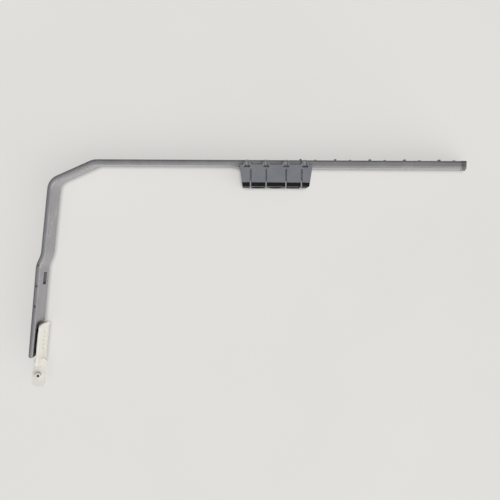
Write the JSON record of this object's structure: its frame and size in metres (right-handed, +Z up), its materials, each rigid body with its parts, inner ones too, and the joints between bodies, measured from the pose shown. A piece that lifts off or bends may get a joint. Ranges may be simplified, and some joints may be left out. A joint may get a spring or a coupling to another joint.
{
  "type": "dishwasher water supply tube",
  "caption": "Flat L-shaped plastic tube that carries wash water up a dishwasher's back wall, with a clip-on docking unit for the rack and a spray nozzle at its top end.",
  "frame": {"origin": "middle of the inlet mouth, at the tube's lower end in use", "axes": "+X out of the inlet along the long run, +Y towards the tub's back wall in use, +Z across the flat tube; the part lies on its side with +Z up"},
  "size_m": [0.6412, 0.3344, 0.0394],
  "materials": {
    "tube_plastic": "satin",
    "dock_plastic": "matte",
    "strap_plastic": "satin",
    "black_rubber": "matte",
    "white_plastic": "satin",
    "flap_plastic": "satin"
  },
  "bodies": {
    "tube": {"supply_tube": "tube_plastic", "inlet_seal": "black_rubber", "docking_gasket": "black_rubber", "docking_body": "dock_plastic", "docking_seal": "black_rubber", "docking_frame": "strap_plastic", "nozzle_seal": "black_rubber", "top_nozzle": "white_plastic"},
    "flap_1": {"port_flap_1": "flap_plastic"},
    "flap_2": {"port_flap_2": "flap_plastic"},
    "flap_3": {"port_flap_3": "flap_plastic"}
  },
  "joints": [
    {"name": "flap_1_hinge", "type": "hinge", "parent": "tube", "child": "flap_1", "pos_m": [-0.3016, -0.0222, 0.0103], "axis": [1, 0, 0], "range_deg": [0, 60]},
    {"name": "flap_2_hinge", "type": "hinge", "parent": "tube", "child": "flap_2", "pos_m": [-0.2766, -0.0222, 0.0103], "axis": [1, 0, 0], "range_deg": [0, 60]},
    {"name": "flap_3_hinge", "type": "hinge", "parent": "tube", "child": "flap_3", "pos_m": [-0.2516, -0.0222, 0.0103], "axis": [1, 0, 0], "range_deg": [0, 60]}
  ]
}
